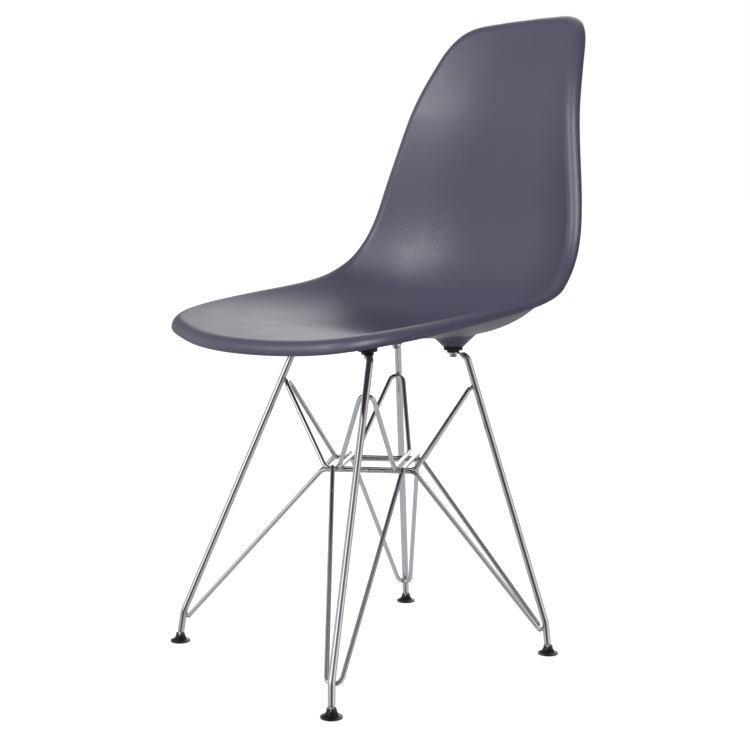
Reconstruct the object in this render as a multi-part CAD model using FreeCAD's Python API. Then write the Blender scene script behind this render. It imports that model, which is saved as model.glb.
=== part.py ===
import FreeCAD, Part
import math
import os

os.makedirs("parts", exist_ok=True)
Vector = FreeCAD.Vector
UP = Vector(0, 0, 1)

# A moulded plastic shell chair on a welded rod base.
# Millimetres. The sitter looks along -Y, their left hand is at +X, and +Z is up.
# The sizes below are measured from the middle of the four feet. The finished part is moved
# along Y, so that its origin lies on the floor under the middle of its whole outline.

# Shell: the middle line of the sitting surface, from the front edge to the top of the back.
# Each point is a depth and a height, and the points are about one profile pitch apart.
profile_points = [
    (-229.5, 422.5), (-134.5, 426.0), (-39.5, 421.0), (54.5, 413.5), (145.0, 429.0),
    (202.5, 503.5), (215.5, 597.5), (222.0, 692.0), (245.1, 782.0), (276.1, 871.5),
]
profile_pitch = 95.0
# How far the sides stand proud of the middle line, at each profile point.
wing_rises = [15.0, 20.5, 37.5, 62.0, 79.5, 85.0, 82.5, 76.4, 65.9, 50.7]
wing_reach = 232.0
seat_dish_power = 2.9
back_dish_power = 2.1
dish_change_start = 3.5
dish_change_end = 7.0

# Shell: the outline on the flattened sheet, as a reach in each direction from the middle
# of the bend, in shares of the wing reach. -90 degrees is the front, 90 the top.
outline_centre = 4.4
outline_angles = [
    -90, -78, -70, -64, -58, -50, -38, -22, -5, 12, 28,
    42, 52, 60, 64, 67, 70.5, 74, 77.5, 81, 85.5, 90,
]
outline_shares = [
    1.7069, 1.6983, 1.7069, 1.7155, 1.6509, 1.4612, 1.1897, 1.0, 0.9009, 0.875, 0.9181,
    1.0129, 1.1241, 1.2664, 1.3586, 1.4371, 1.5379, 1.6034, 1.619, 1.6129, 1.6069, 1.6034,
]
outline_reaches = [share * wing_reach for share in outline_shares]

# Shell: wall and rolled rim.
wall = 5.0
rim_roll_radius = 13.8
rim_roll_angle = 93.5
rim_band = 15.0
rim_roll_steps = 6
rim_edge_turns = (45, 90, 135)

# How finely the curved sheets are built.
outline_columns = 120
sheet_columns = 49
sheet_rows = 73
station_probe = 0.002
across_probe = 0.5
turn_probe = 0.2
relaxation_rounds = 40
sewing_reach = 0.02
face_tolerance = 0.001

# Shell: the four bosses under the seat.
boss_foot_diameter = 25.5
boss_flank_angle = 45.0
boss_height_spare = 30.0
boss_field_width = 260.0
boss_field_start = 0.6
boss_field_length = 3.4
boss_rows = 24

# Rod base.
leg_diameter = 9.0
brace_diameter = 6.0
front_foot = (177.2, -179.6)
rear_foot = (151.0, 179.6)
front_knee = (171.7, -175.4, 41.3)
rear_knee = (148.4, 176.0, 40.6)
knee_radius = 30.0
front_shoulder = (81.8, -55.4, 393.7)
rear_shoulder = (72.1, 103.3, 386.0)
shoulder_radius = 8.0
front_eye_reach = (-16.2, 7.8)
rear_eye_reach = (-11.8, -12.1)
eye_diameter = 16.0
eye_thickness = 2.5
flat_width = 12.0
flattened_length = 5.0
straight_spare = 0.3
taper_step = 0.02

# Braces: bend points of the loops that join the left front leg to the right rear one.
# The other diagonal's loops are their mirror images.
upper_bends = {"front": (15.0, -54.5), "right": (-62.5, 29.0), "rear": (-15.0, 79.5), "left": (63.0, -4.5)}
lower_bends = {"front": (11.0, -62.0), "right": (-70.5, 21.5), "rear": (-3.0, 84.5), "left": (74.5, 0.0)}
lattice_height = 244.3
brace_bend_radius = 12.0
brace_turn_radius = 9.5
upper_weld_height = {"front": 352.0, "rear": 346.0}
lower_weld_height = {"front": 36.5, "rear": 33.0}
weld_diameter = 7.5

# Shock mounts and their fasteners.
mount_disc_diameter = 24.5
mount_disc_thickness = 4.0
mount_step_diameter = 16.0
mount_step_thickness = 2.0
mount_thickness = mount_disc_thickness + mount_step_thickness
mount_edge_radius = 0.6
bolt_diameter = 5.0
bolt_hex = 8.0
bolt_head_height = 3.5
bolt_engagement = 8.0
bolt_tip_chamfer = 0.8
bolt_clearance = 0.25
thread_clearance = 0.05
washer_diameter = 10.0
washer_thickness = 1.0
insert_diameter = 7.2
insert_length = 9.0
insert_groove = 1.2
insert_clearance = 0.02
bore_spare = 1.5

# Glides: clip-on feet that swivel on the legs' ball ends.
ball_height = 7.6
ball_neck_diameter = 5.2
ball_shoulder = 5.6
ball_clearance = 0.3
glide_disc_diameter = 26.0
glide_disc_edge = 1.6
glide_bell_foot_diameter = 16.0
glide_bell_foot_height = 4.4
glide_collar_diameter = 11.4
glide_collar_height = 11.2
glide_mouth_diameter = 8.4
glide_slot_width = 1.8
glide_slot_floor = 5.6
glide_slot_turn = 45.0
glide_flank_hollow = 0.6
glide_flare_share = 0.35
mouth_lead = 0.4


def spline(knots, values, flat_ends=False):
    """Cubic through the values: second derivatives from the usual three-term system.

    The ends are free, or level where flat_ends is true.
    """
    count = len(knots)
    steps = [knots[i + 1] - knots[i] for i in range(count - 1)]
    slopes = [(values[i + 1] - values[i]) / steps[i] for i in range(count - 1)]
    diagonal = [2.0] * count
    upper = [0.0] * count
    right = [0.0] * count
    for i in range(1, count - 1):
        upper[i] = steps[i] / (steps[i - 1] + steps[i])
        right[i] = 6.0 * (slopes[i] - slopes[i - 1]) / (steps[i - 1] + steps[i])
    lower = [1.0 - share for share in upper]
    lower[-1] = 0.0
    if flat_ends:
        upper[0] = 1.0
        lower[-1] = 1.0
        right[0] = 6.0 * slopes[0] / steps[0]
        right[-1] = -6.0 * slopes[-1] / steps[-1]
    for i in range(1, count):
        factor = lower[i] / diagonal[i - 1]
        diagonal[i] -= factor * upper[i - 1]
        right[i] -= factor * right[i - 1]
    bends = [0.0] * count
    bends[-1] = right[-1] / diagonal[-1]
    for i in range(count - 2, -1, -1):
        bends[i] = (right[i] - upper[i] * bends[i + 1]) / diagonal[i]

    def value(at):
        i = 0
        while i < count - 2 and at > knots[i + 1]:
            i += 1
        ahead = (knots[i + 1] - at) / steps[i]
        behind = (at - knots[i]) / steps[i]
        curve = (ahead ** 3 - ahead) * bends[i] + (behind ** 3 - behind) * bends[i + 1]
        return ahead * values[i] + behind * values[i + 1] + curve * steps[i] ** 2 / 6.0

    return value


stations = list(range(len(profile_points)))
middle_depth = spline(stations, [point[0] for point in profile_points])
middle_height = spline(stations, [point[1] for point in profile_points])
wing_rise = spline(stations, wing_rises)
outline_reach = spline([math.radians(angle) for angle in outline_angles], outline_reaches, True)


def shell_point(across, station):
    """A point of the sitting surface: the middle line, raised along its own normal by the dish."""
    depth = middle_depth(station)
    height = middle_height(station)
    run = middle_depth(station + station_probe) - middle_depth(station - station_probe)
    climb = middle_height(station + station_probe) - middle_height(station - station_probe)
    length = math.hypot(run, climb)
    change = (station - dish_change_start) / (dish_change_end - dish_change_start)
    change = min(max(change, 0.0), 1.0)
    power = seat_dish_power + (back_dish_power - seat_dish_power) * change
    rise = wing_rise(station) * (abs(across) / wing_reach) ** power
    return Vector(across, depth - climb / length * rise, height + run / length * rise)


def shell_frame(across, station):
    """The two directions of the sheet at a point, and the normal that faces the sitter."""
    ahead = shell_point(across + across_probe, station)
    back = shell_point(across - across_probe, station)
    above = shell_point(across, station + station_probe)
    below = shell_point(across, station - station_probe)
    sideways = (ahead - back) * (0.5 / across_probe)
    upward = (above - below) * (0.5 / station_probe)
    normal = sideways.cross(upward)
    normal.normalize()
    return sideways, upward, normal


def outline_place(angle):
    """Where the rim runs on the flattened sheet, in a direction from the bend."""
    side = 1.0 if math.cos(angle) >= 0 else -1.0
    reach = outline_reach(math.asin(math.sin(angle)))
    return side * reach * abs(math.cos(angle)), outline_centre + reach * math.sin(angle) / profile_pitch


def rim_frame(angle):
    """The rim's point, its outward direction and normal, and the outward step on the sheet."""
    turn = math.radians(turn_probe)
    across, station = outline_place(angle)
    here = shell_point(across, station)
    sideways, upward, normal = shell_frame(across, station)
    tangent = shell_point(*outline_place(angle + turn)) - shell_point(*outline_place(angle - turn))
    tangent.normalize()
    outward = tangent.cross(normal)
    outward.normalize()
    a = sideways.dot(sideways)
    b = sideways.dot(upward)
    c = upward.dot(upward)
    p = outward.dot(sideways)
    q = outward.dot(upward)
    whole = a * c - b * b
    return here, outward, normal, across, station, (c * p - b * q) / whole, (a * q - b * p) / whole


def rim_section(angle):
    """One section of the rim: in from the sheet, round the roll and its edge, and back beneath."""
    here, outward, normal, across, station, across_step, station_step = rim_frame(angle)
    top = []
    under = []
    for thirds in (4, 3, 2, 1):
        inset = rim_band * thirds / 3
        place = (across - across_step * inset, station - station_step * inset)
        point = shell_point(*place)
        top.append(point)
        under.append(point - shell_frame(*place)[2] * wall)
    end = math.radians(rim_roll_angle)
    centre = here - normal * rim_roll_radius

    def roll(radius, turn):
        return centre + normal * (radius * math.cos(turn)) + outward * (radius * math.sin(turn))

    turns = [end * i / rim_roll_steps for i in range(rim_roll_steps + 1)]
    outer = [roll(rim_roll_radius, turn) for turn in turns]
    inner = [roll(rim_roll_radius - wall, turn) for turn in turns]
    middle = roll(rim_roll_radius - wall / 2, end)
    away = normal * math.cos(end) + outward * math.sin(end)
    down = outward * math.cos(end) - normal * math.sin(end)
    edge = []
    for turn in rim_edge_turns:
        lean = math.radians(turn)
        edge.append(middle + (away * math.cos(lean) + down * math.sin(lean)) * (wall / 2))
    return top + outer + edge + inner[::-1] + under[::-1]


def smoothed(points, closed):
    """Poles of the even cubic spline through the points, found by relaxation.

    Each point is a sixth of the pole before, four sixths of its own and a sixth of the next.
    An open row keeps its ends and gets one more pole straight beyond each.
    """
    poles = list(points)
    last = len(points) - 1
    for _ in range(relaxation_rounds):
        before = poles[-1:] + poles[:-1]
        after = poles[1:] + poles[:1]
        poles = [(point * 6 - low - high) * 0.25 for point, low, high in zip(points, before, after)]
        if not closed:
            poles[0] = points[0]
            poles[last] = points[last]
    if closed:
        return poles
    return [poles[0] * 2 - poles[1]] + poles + [poles[last] * 2 - poles[last - 1]]


def surface_through(rows, closed, trim):
    """An even cubic surface through a grid of points, cut back by whole steps at its open ends."""
    across = [smoothed(row, False) for row in rows]
    columns = [smoothed([row[j] for row in across], closed) for j in range(len(across[0]))]
    poles = [list(row) for row in zip(*columns)]
    first = list(range(len(rows) + 1)) if closed else list(range(-3, len(poles) + 1))
    second = list(range(-3, len(columns) + 1))
    surface = Part.BSplineSurface()
    surface.buildFromPolesMultsKnots(
        poles, [1] * len(first), [1] * len(second), first, second, closed, False, 3, 3)
    low, high = (0, len(rows)) if closed else (trim, len(rows) - 1 - trim)
    surface.segment(low, high, trim, len(rows[0]) - 1 - trim)
    return surface


def trimmed(surface, edge):
    """The part of a surface inside a closed edge that lies on it."""
    face = Part.Face(surface, Part.Wire([edge]))
    face.fix(face_tolerance, face_tolerance, sewing_reach)
    return face


def shell_sheet():
    """The moulding without its bosses: two sheets one wall apart, closed by the rolled rim."""
    turns = [2 * math.pi * i / outline_columns for i in range(outline_columns)]
    rim = surface_through([rim_section(turn) for turn in turns], True, 1)
    rim_face = rim.toShape()
    inner_edge, outer_edge = [rim.vIso(bound).toShape() for bound in rim.bounds()[2:]]
    half_width = max(outline_place(turn)[0] for turn in turns) - rim_band / 2
    low = outline_centre - (outline_reaches[0] - rim_band / 2) / profile_pitch
    high = outline_centre + (outline_reaches[-1] - rim_band / 2) / profile_pitch
    top_rows = []
    under_rows = []
    stations_up = [low + (high - low) * j / (sheet_rows - 1) for j in range(sheet_rows)]
    for i in range(sheet_columns):
        across = half_width * (2 * i / (sheet_columns - 1) - 1)
        places = [(across, station) for station in stations_up]
        top_rows.append([shell_point(*place) for place in places])
        under_rows.append([shell_point(*place) - shell_frame(*place)[2] * wall for place in places])
    top = trimmed(surface_through(top_rows, False, 1), inner_edge)
    under = trimmed(surface_through(under_rows, False, 1), outer_edge)
    return rim_face, top, under


def closed_shell(faces):
    """The solid inside faces that meet edge to edge."""
    sewn = Part.Compound(faces)
    sewn.sewShape(sewing_reach)
    return Part.Solid(sewn.Shells[0])


def rounded_rod(points, radii, diameter, closed):
    """A round rod through bend points: straight runs, and arcs of the given radii at the bends."""
    count = len(points)
    runs = []
    pieces = []
    for i, point in enumerate(points):
        if not closed and i in (0, count - 1):
            runs.append((point, point))
            continue
        back = (points[i - 1] - point).normalize()
        ahead = (points[(i + 1) % count] - point).normalize()
        half = back.getAngle(ahead) / 2
        setback = radii[i] / math.tan(half)
        start = point + back * setback
        middle = (back + ahead).normalize()
        centre = point + middle * (radii[i] / math.sin(half))
        axis = back.cross(ahead).normalize()
        ring = Part.Wire([Part.makeCircle(diameter / 2, start, back)])
        arc = Part.Face(ring).revolve(centre, axis * -1, math.degrees(math.pi - 2 * half))
        pieces.append(arc)
        runs.append((start, point + ahead * setback))
    for i in range(count if closed else count - 1):
        start = runs[i][1]
        end = runs[(i + 1) % count][0]
        pieces.append(Part.makeCylinder(diameter / 2, (end - start).Length, start, end - start))
    return pieces[0].multiFuse(pieces[1:]).removeSplitter()


def ellipse_wire(centre, along, half_width, half_height):
    """An upright ellipse, wider than high, square to a level direction."""
    sideways = UP.cross(along)
    ellipse = Part.Ellipse(centre + sideways * half_width, centre + UP * half_height, centre)
    return Part.Wire([ellipse.toShape()])


def leg_places(end, side):
    """The named points of one leg: end is front or rear, side is 1 on the sitter's left."""
    foot, knee, shoulder, reach = {
        "front": (front_foot, front_knee, front_shoulder, front_eye_reach),
        "rear": (rear_foot, rear_knee, rear_shoulder, rear_eye_reach),
    }[end]
    share = ball_height / knee[2]
    ball = [low + (high - low) * share for low, high in zip(foot, knee)] + [ball_height]
    eye_height = shoulder[2] + (leg_diameter - eye_thickness) / 2
    eye = (shoulder[0] + reach[0], shoulder[1] + reach[1], eye_height)
    places = {"ball": ball, "knee": knee, "shoulder": shoulder, "eye": eye}
    return {name: Vector(side * x, y, z) for name, (x, y, z) in places.items()}


def leg_rod(places):
    """The bent rod of one leg, the start of its flattened end, and that end's direction."""
    ball_centre, knee, shoulder = places["ball"], places["knee"], places["shoulder"]
    inward = places["eye"] - shoulder
    inward = (inward - UP * inward.z).normalize()
    upright = (knee - ball_centre).normalize()
    half = (knee - shoulder).getAngle(inward) / 2
    flat_start = shoulder + inward * (shoulder_radius / math.tan(half) + straight_spare)
    rod = rounded_rod(
        [ball_centre + upright * ball_shoulder, knee, shoulder, flat_start],
        [0, knee_radius, shoulder_radius, 0], leg_diameter, False)
    return rod, flat_start, inward


def leg(places):
    """One leg: ball end, neck, bent rod, and a level end flattened to an eye for the bolt.

    The eye is flush with the top of the rod.
    """
    radius = leg_diameter / 2
    rod, flat_start, inward = leg_rod(places)
    ball_centre, eye_centre = places["ball"], places["eye"]
    upright = (places["knee"] - ball_centre).normalize()
    neck = Part.makeCylinder(ball_neck_diameter / 2, ball_shoulder, ball_centre, upright)
    ball = Part.makeSphere(radius, ball_centre)
    round_end = ellipse_wire(flat_start, inward, radius - taper_step, radius - taper_step * 2)
    flat_centre = flat_start + inward * flattened_length
    flat_centre.z = eye_centre.z
    flat_end = ellipse_wire(flat_centre, inward, flat_width / 2, eye_thickness / 2)
    tongue = Part.Face(flat_end).extrude(inward * (eye_diameter / 2))
    taper = Part.makeLoft([round_end, flat_end], True, True)
    below = eye_centre - UP * (eye_thickness / 2)
    eye = Part.makeCylinder(eye_diameter / 2, eye_thickness, below, UP)
    drill_start = eye_centre - UP * leg_diameter
    bore = Part.makeCylinder(bolt_diameter / 2 + bolt_clearance, leg_diameter * 2, drill_start, UP)
    return rod.multiFuse([neck, ball, taper, tongue, eye]).cut(bore).removeSplitter()


def turn_apex(first, second, places, height):
    """Where a brace's two sides would meet, so that its turn rests on the inside of the leg.

    The second result is the point where the two rods touch.
    """
    low, high = places["knee"], places["shoulder"]
    if height < low.z:
        low, high = places["ball"], places["knee"]
    axis = (high - low).normalize()
    axis_point = low + axis * ((height - low.z) / axis.z)
    middle = (first + second) * 0.5
    inward = middle - axis_point
    inward = (inward - axis * inward.dot(axis)).normalize()
    crest = axis_point + inward * ((leg_diameter + brace_diameter) / 2)
    outward = (crest - middle).normalize()
    beyond = brace_turn_radius
    for _ in range(relaxation_rounds):
        apex = crest + outward * beyond
        half = (first - apex).getAngle(second - apex) / 2
        beyond = brace_turn_radius / math.sin(half) - brace_turn_radius
    return crest + outward * beyond, crest - inward * (brace_diameter / 2)


def brace(bends, height, weld_heights, side):
    """One closed loop of thin rod from a front leg to the rear leg opposite, and its weld points."""
    points = {name: Vector(side * x, y, height) for name, (x, y) in bends.items()}
    front_apex, front_weld = turn_apex(
        points["front"], points["left"], leg_places("front", side), weld_heights["front"])
    rear_apex, rear_weld = turn_apex(
        points["rear"], points["right"], leg_places("rear", -side), weld_heights["rear"])
    line = [front_apex, points["front"], points["right"], rear_apex, points["rear"], points["left"]]
    radii = [brace_turn_radius, brace_bend_radius, brace_bend_radius] * 2
    return rounded_rod(line, radii, brace_diameter, True), (front_weld, rear_weld)


def shock_mount(eye_centre):
    """A rubber disc with a smaller step below it, bored for the bolt."""
    seat = eye_centre + UP * (eye_thickness / 2)
    step = Part.makeCylinder(mount_step_diameter / 2, mount_step_thickness, seat, UP)
    disc = Part.makeCylinder(
        mount_disc_diameter / 2, mount_disc_thickness, seat + UP * mount_step_thickness, UP)
    disc = disc.makeFillet(mount_edge_radius, disc.Edges)
    bore = Part.makeCylinder(bolt_diameter / 2 + bolt_clearance, mount_thickness, seat, UP)
    return step.fuse(disc).cut(bore).removeSplitter()


def washer(eye_centre):
    """The flat washer between a bolt's head and the leg's eye."""
    top = eye_centre - UP * (eye_thickness / 2)
    below = top - UP * washer_thickness
    disc = Part.makeCylinder(washer_diameter / 2, washer_thickness, below, UP)
    bore = Part.makeCylinder(bolt_diameter / 2 + bolt_clearance, washer_thickness, below, UP)
    return disc.cut(bore)


def mount_bolt(eye_centre):
    """A hexagon bolt, head down, that reaches through the stack into the insert."""
    seat = eye_centre - UP * (eye_thickness / 2 + washer_thickness)
    corner = bolt_hex / math.sqrt(3)
    base = seat - UP * bolt_head_height
    turns = [math.pi * i / 3 for i in range(7)]
    hexagon = [base + Vector(math.cos(turn), math.sin(turn), 0) * corner for turn in turns]
    head = Part.Face(Part.makePolygon(hexagon)).extrude(UP * bolt_head_height)
    round_off = Part.makeCone(
        bolt_hex / 2, bolt_hex / 2 + bolt_head_height, bolt_head_height, base, UP)
    length = washer_thickness + eye_thickness + mount_thickness + bolt_engagement
    shank = Part.makeCylinder(bolt_diameter / 2, length, seat, UP)
    tip = max(shank.Edges, key=lambda edge: edge.CenterOfMass.z)
    shank = shank.makeChamfer(bolt_tip_chamfer, [tip])
    return head.common(round_off).fuse(shank).removeSplitter()


def threaded_insert(eye_centre):
    """A brass sleeve in the boss, with a groove round its middle that keys it in."""
    foot = eye_centre + UP * (eye_thickness / 2 + mount_thickness)
    radius = insert_diameter / 2
    middle = foot + UP * ((insert_length - insert_groove) / 2)
    sleeve = Part.makeCylinder(radius, insert_length, foot, UP)
    core = Part.makeCylinder(radius - insert_groove / 2, insert_groove, middle, UP)
    groove = Part.makeCylinder(radius, insert_groove, middle, UP).cut(core)
    bore = Part.makeCylinder(bolt_diameter / 2 + thread_clearance, insert_length, foot, UP)
    return sleeve.cut(groove).cut(bore)


def glide(ball_centre):
    """A clip-on foot: flared disc, bell and slotted collar round a socket for the ball."""
    socket_radius = leg_diameter / 2 + ball_clearance
    mouth = glide_mouth_diameter / 2
    mouth_height = ball_height + math.sqrt(socket_radius ** 2 - mouth ** 2)
    disc = glide_disc_diameter / 2
    bell_foot = glide_bell_foot_diameter / 2
    collar = glide_collar_diameter / 2
    socket_floor = ball_height - socket_radius

    def at(radius, height):
        return Vector(radius, 0, height)

    flare_height = glide_disc_edge + (glide_bell_foot_height - glide_disc_edge) * glide_flare_share
    flare = Part.Arc(
        at(disc, glide_disc_edge),
        at((disc + bell_foot) / 2, flare_height),
        at(bell_foot, glide_bell_foot_height))
    flank = Part.Arc(
        at(bell_foot, glide_bell_foot_height),
        at((bell_foot + collar) / 2 - glide_flank_hollow,
           (glide_bell_foot_height + glide_collar_height) / 2),
        at(collar, glide_collar_height))
    bowl = Part.Arc(
        at(mouth, mouth_height), at(socket_radius, ball_height), at(0, socket_floor))
    outline = [
        Part.LineSegment(at(0, 0), at(disc, 0)),
        Part.LineSegment(at(disc, 0), at(disc, glide_disc_edge)),
        flare, flank,
        Part.LineSegment(at(collar, glide_collar_height), at(mouth + mouth_lead, glide_collar_height)),
        Part.LineSegment(at(mouth + mouth_lead, glide_collar_height), at(mouth, mouth_height)),
        bowl,
        Part.LineSegment(at(0, socket_floor), at(0, 0)),
    ]
    face = Part.Face(Part.Wire([line.toShape() for line in outline]))
    body = face.revolve(Vector(0, 0, 0), UP, 360)
    for turn in (glide_slot_turn, glide_slot_turn + 90):
        slot = Part.makeBox(
            glide_slot_width, glide_bell_foot_diameter, glide_collar_height,
            Vector(-glide_slot_width / 2, -glide_bell_foot_diameter / 2, glide_slot_floor))
        slot.rotate(Vector(0, 0, 0), UP, turn)
        body = body.cut(slot)
    body.translate(Vector(ball_centre.x, ball_centre.y, 0))
    return body.removeSplitter()


def seat_shell(eyes):
    """The moulding with its four bosses, each bored for an insert."""
    rim, top, under = shell_sheet()
    shell = closed_shell([rim, top, under])
    rows = []
    stations_up = [boss_field_start + boss_field_length * j / boss_rows for j in range(boss_rows + 1)]
    for i in range(boss_rows):
        across = boss_field_width * (i / (boss_rows - 1) - 0.5)
        places = [(across, station) for station in stations_up]
        rows.append([shell_point(*place) - shell_frame(*place)[2] * (wall / 2) for place in places])
    field = surface_through(rows, False, 1).toShape().extrude(UP * boss_height_spare * 3)
    spread = boss_height_spare * math.tan(math.radians(boss_flank_angle))
    radius = boss_foot_diameter / 2
    for eye_centre in eyes:
        foot = eye_centre + UP * (eye_thickness / 2 + mount_thickness)
        boss = Part.makeCone(radius, radius + spread, boss_height_spare, foot, UP).cut(field)
        boss = min(boss.Solids, key=lambda solid: solid.CenterOfMass.z)
        shell = shell.fuse(boss)
    for eye_centre in eyes:
        foot = eye_centre + UP * (eye_thickness / 2 + mount_thickness)
        bore_radius = insert_diameter / 2 + insert_clearance
        bore = Part.makeCylinder(bore_radius, insert_length + bore_spare, foot, UP)
        shell = shell.cut(bore)
    return shell


def save(shape, name, shift):
    """Writes one node's file, moved by the shift, and says what is in it."""
    solids = shape.translated(shift).Solids
    whole = solids[0] if len(solids) == 1 else Part.Compound(solids)
    print(name, len(solids), "solid", round(whole.Volume, 1), "mm3", whole.isValid())
    whole.exportStep(f"parts/{name}.step")


corners = [(end, side) for end in ("front", "rear") for side in (1, -1)]
side_names = {1: "left", -1: "right"}
places = {corner: leg_places(*corner) for corner in corners}
shell = seat_shell([places[corner]["eye"] for corner in corners])
outline_box = shell.optimalBoundingBox(False)
shift = Vector(0, -outline_box.Center.y, 0)
print("moved along Y by", round(shift.y, 3))

save(shell, "seat_shell", shift)
for (end, side), points in places.items():
    name = f"{end}_{side_names[side]}"
    save(leg(points), f"leg_{name}", shift)
    save(glide(points["ball"]), f"glide_{name}", shift)
    save(shock_mount(points["eye"]), f"shock_mount_{name}", shift)
    save(threaded_insert(points["eye"]), f"threaded_insert_{name}", shift)
    save(mount_bolt(points["eye"]), f"mount_bolt_{name}", shift)
    save(washer(points["eye"]), f"washer_{name}", shift)
for side in (1, -1):
    height = lattice_height + (brace_diameter if side == 1 else 0)
    levels = {
        "upper": (upper_bends, upper_weld_height),
        "lower": (lower_bends, lower_weld_height),
    }
    for level, (bends, weld_heights) in levels.items():
        rod, welds = brace(bends, height, weld_heights, side)
        joined = (places["front", side], places["rear", -side])
        for weld, points in zip(welds, joined):
            bead = Part.makeSphere(weld_diameter / 2, weld).cut(leg_rod(points)[0])
            rod = rod.fuse(bead)
        save(rod.removeSplitter(), f"{level}_brace_{side_names[side]}", shift)
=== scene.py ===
# %% [markdown]
# # A moulded shell chair on a welded rod base
# This lesson dresses a chair whose solids are already worked out. The chair is a thin plastic
# shell, bent like a hand, on four chromed legs that are tied together by crossing loops of wire.
# We build each visible piece as a surface from a short formula, and give it a finish made of
# nodes. The solids come in first as a fixed frame, because they say where everything goes.

import math

import bmesh
import bpy
import numpy as np
from mathutils import Matrix, Vector


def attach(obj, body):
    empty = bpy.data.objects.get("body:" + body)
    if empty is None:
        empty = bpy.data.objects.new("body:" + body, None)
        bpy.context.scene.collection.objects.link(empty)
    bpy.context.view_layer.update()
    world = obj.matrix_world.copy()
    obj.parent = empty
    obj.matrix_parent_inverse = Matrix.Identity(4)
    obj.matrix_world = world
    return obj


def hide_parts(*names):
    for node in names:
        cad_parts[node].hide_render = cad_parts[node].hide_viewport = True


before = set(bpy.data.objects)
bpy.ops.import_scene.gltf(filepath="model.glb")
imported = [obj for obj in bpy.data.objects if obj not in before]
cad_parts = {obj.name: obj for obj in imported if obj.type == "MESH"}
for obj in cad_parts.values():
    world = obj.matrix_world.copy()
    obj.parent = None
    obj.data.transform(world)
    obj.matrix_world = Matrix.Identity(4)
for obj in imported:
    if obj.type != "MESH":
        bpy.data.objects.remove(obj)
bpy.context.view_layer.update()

# %% [markdown]
# ## Units and one way to make a mesh
# A chair maker's drawing is in millimetres, and Blender works in metres, so every size below is in
# millimetres and is scaled once, when a mesh is made. All our surfaces are grids: rows of points
# with faces between neighbours. A grid can close on itself sideways, as a tube does, and each end
# can be closed by a fan of triangles. Working on whole grids with numpy is short and fast. Places
# are measured from the middle of the four feet, which lies a little in front of the middle of the
# whole chair, so that every place is moved by FEET_MIDDLE.

# %% Grids and pieces
MM = 0.001
UP = np.array([0.0, 0.0, 1.0])
LEVEL = np.array([1.0, 1.0, 0.0])
FEET_MIDDLE = np.array([0.0, -26.888, 0.0])
SIDES = {"left": 1, "right": -1}


def skin(grid, around=False, along=False, start_cap=False, end_cap=False):
    """Points and faces of a grid: each face joins a point, its neighbour in the row, the one
    diagonally on, and the one in the next row. around and along close the grid on itself, and a
    cap joins an end row to its own middle point."""
    rows, columns = grid.shape[:2]
    index = np.arange(rows * columns).reshape(rows, columns)
    right = np.roll(index, -1, axis=1)
    low, low_right = index, right
    high, high_right = np.roll(index, -1, axis=0), np.roll(right, -1, axis=0)
    quads = np.stack([low, low_right, high_right, high], axis=-1)
    quads = quads[: rows if along else rows - 1, : columns if around else columns - 1]
    faces = quads.reshape(-1, 4).tolist()
    points = [grid.reshape(-1, 3)]
    count = rows * columns
    if start_cap:
        points.append(grid[0].mean(axis=0, keepdims=True))
        faces += np.stack([right[0], index[0], np.full(columns, count)], axis=-1).tolist()
        count += 1
    if end_cap:
        points.append(grid[-1].mean(axis=0, keepdims=True))
        faces += np.stack([index[-1], right[-1], np.full(columns, count)], axis=-1).tolist()
    return np.concatenate(points), faces


def make_piece(name, skins, body, nodes, weld=0.0):
    """One object from one or more skins, smooth shaded, riding on a body in place of nodes.
    Points closer than weld are merged."""
    points, faces, shift = [], [], 0
    for skin_points, skin_faces in skins:
        points.append(skin_points)
        faces += [[corner + shift for corner in face] for face in skin_faces]
        shift += len(skin_points)
    mesh = bpy.data.meshes.new(name)
    mesh.from_pydata((np.concatenate(points) * MM).tolist(), [], faces)
    if weld:
        work = bmesh.new()
        work.from_mesh(mesh)
        bmesh.ops.remove_doubles(work, verts=work.verts, dist=weld * MM)
        bmesh.ops.recalc_face_normals(work, faces=work.faces)
        work.to_mesh(mesh)
        work.free()
    mesh.polygons.foreach_set("use_smooth", np.ones(len(mesh.polygons), bool))
    mesh.update()
    piece = bpy.data.objects.new(name, mesh)
    bpy.context.scene.collection.objects.link(piece)
    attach(piece, body)
    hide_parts(*nodes)
    triangles = sum(len(polygon.vertices) - 2 for polygon in mesh.polygons)
    print(f"{name}: {len(mesh.vertices)} points, {triangles} triangles")
    return piece


# %% [markdown]
# ## The shell's surface
# A moulded chair shell is one sheet. Its middle line runs from the front edge, along the seat,
# round the bend and up the back. To either side the sheet rises along its own normal, gently at
# first and then faster, which gives the dish that holds a sitter. That is a function of two
# parameters: how far across, and how far along the middle line. We only need smooth curves
# through a few values, so the first helper is a cubic spline.

# %% Smooth curves through a few values


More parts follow.
